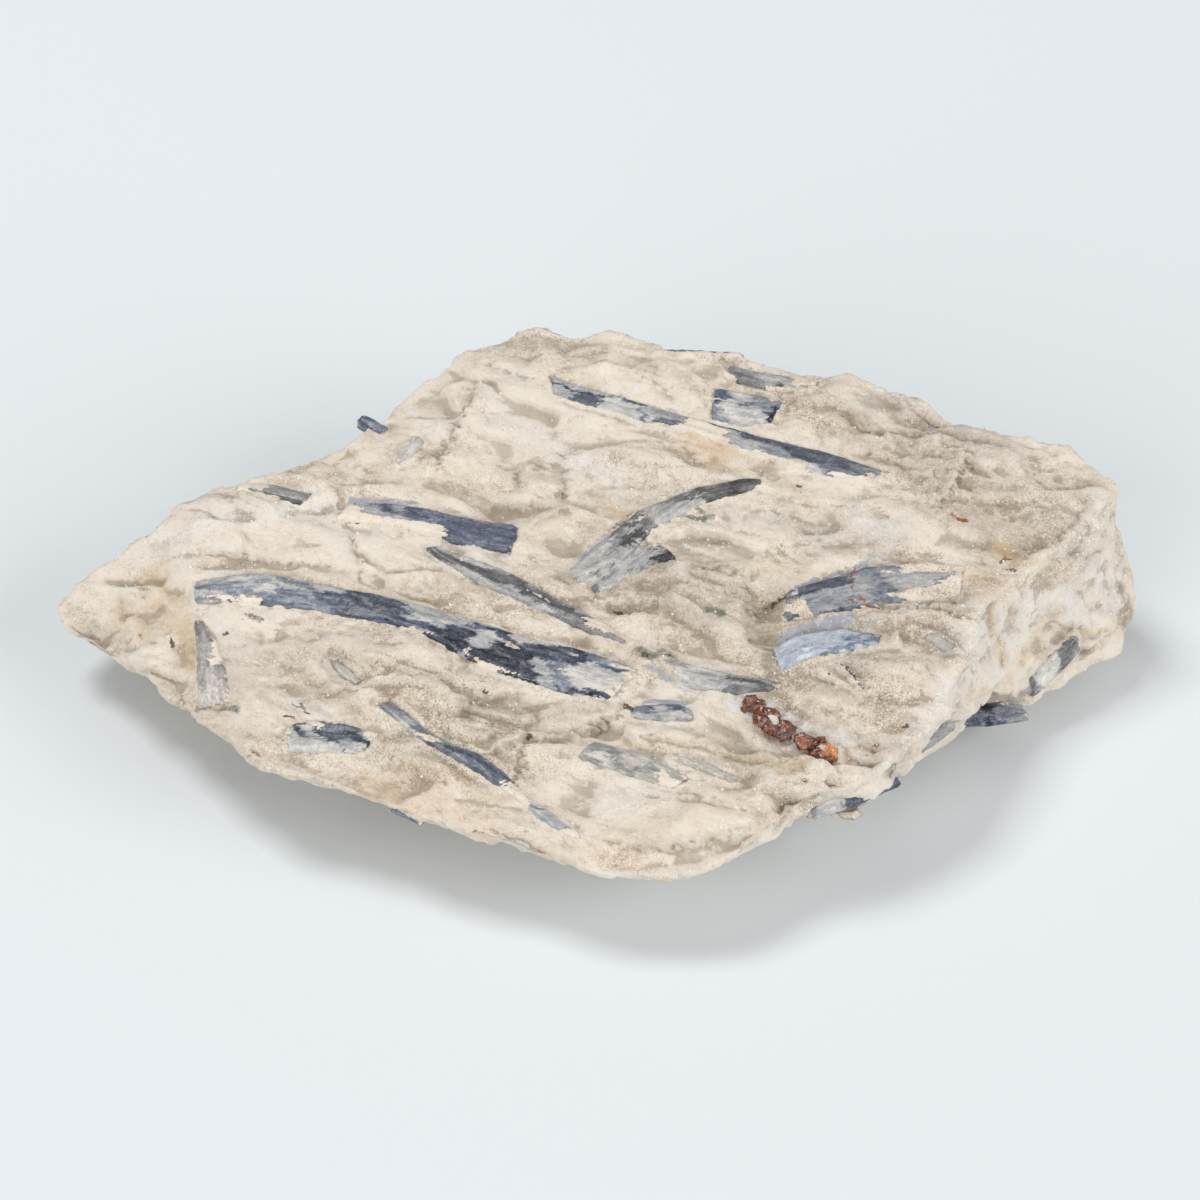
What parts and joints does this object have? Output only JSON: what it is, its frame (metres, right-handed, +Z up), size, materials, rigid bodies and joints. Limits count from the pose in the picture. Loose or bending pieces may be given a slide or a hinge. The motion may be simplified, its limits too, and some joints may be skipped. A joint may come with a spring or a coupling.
{
  "type": "kyanite blade cluster",
  "caption": "Slab of cream massive quartz with flat blue and grey kyanite blades lying in its broken top, and red-brown garnet grains.",
  "frame": {"origin": "middle of the bounding box seen from above, at the height of the underside it rests on", "axes": "+X along the longest side to the right, +Y to the back, +Z up; the top falls towards -Y"},
  "size_m": [0.1868, 0.1174, 0.0352],
  "materials": {
    "quartz": "broken massive quartz, matt with sugary glints, ochre in places",
    "kyanite_navy": "navy kyanite, pearly on the cleavage",
    "kyanite_blue": "blue kyanite with darker bands, pearly on the cleavage",
    "kyanite_sky": "sky-blue striated kyanite, pearly",
    "kyanite_slate": "slate-grey kyanite with pale cross bars, pearly",
    "kyanite_pale": "pale grey glassy kyanite",
    "kyanite_moss": "grey-green kyanite, dull",
    "garnet": "red-brown garnet, glassy and slightly clear at thin edges"
  },
  "bodies": {
    "root": {"matrix": "quartz", "blade_great": "kyanite_navy", "blade_back_long": "kyanite_blue", "blade_left_upper": "kyanite_navy", "blade_left_rim": "kyanite_slate", "blade_glassy": "kyanite_pale", "blade_slender": "kyanite_slate", "blade_curved": "kyanite_slate", "blade_broad": "kyanite_blue", "blade_bright": "kyanite_sky", "blade_front": "kyanite_blue", "blade_mossy": "kyanite_moss", "blade_faint": "kyanite_moss", "blade_stub": "kyanite_navy", "blade_grey": "kyanite_slate", "blade_square": "kyanite_navy", "blade_small_left": "kyanite_slate", "blade_pale_left": "kyanite_pale", "blade_mica": "kyanite_blue", "blade_rim_mass": "kyanite_slate", "blade_pale_right": "kyanite_pale", "blade_needle": "kyanite_navy", "blade_rim_plate": "kyanite_navy", "blade_nub": "kyanite_navy", "blade_wall_low": "kyanite_navy", "blade_wall_plate": "kyanite_slate", "blade_foot": "kyanite_navy", "blade_foot_small": "kyanite_slate", "blade_rim_sliver": "kyanite_navy", "garnet_upper": "garnet", "garnet_lower": "garnet"}
  },
  "joints": []
}
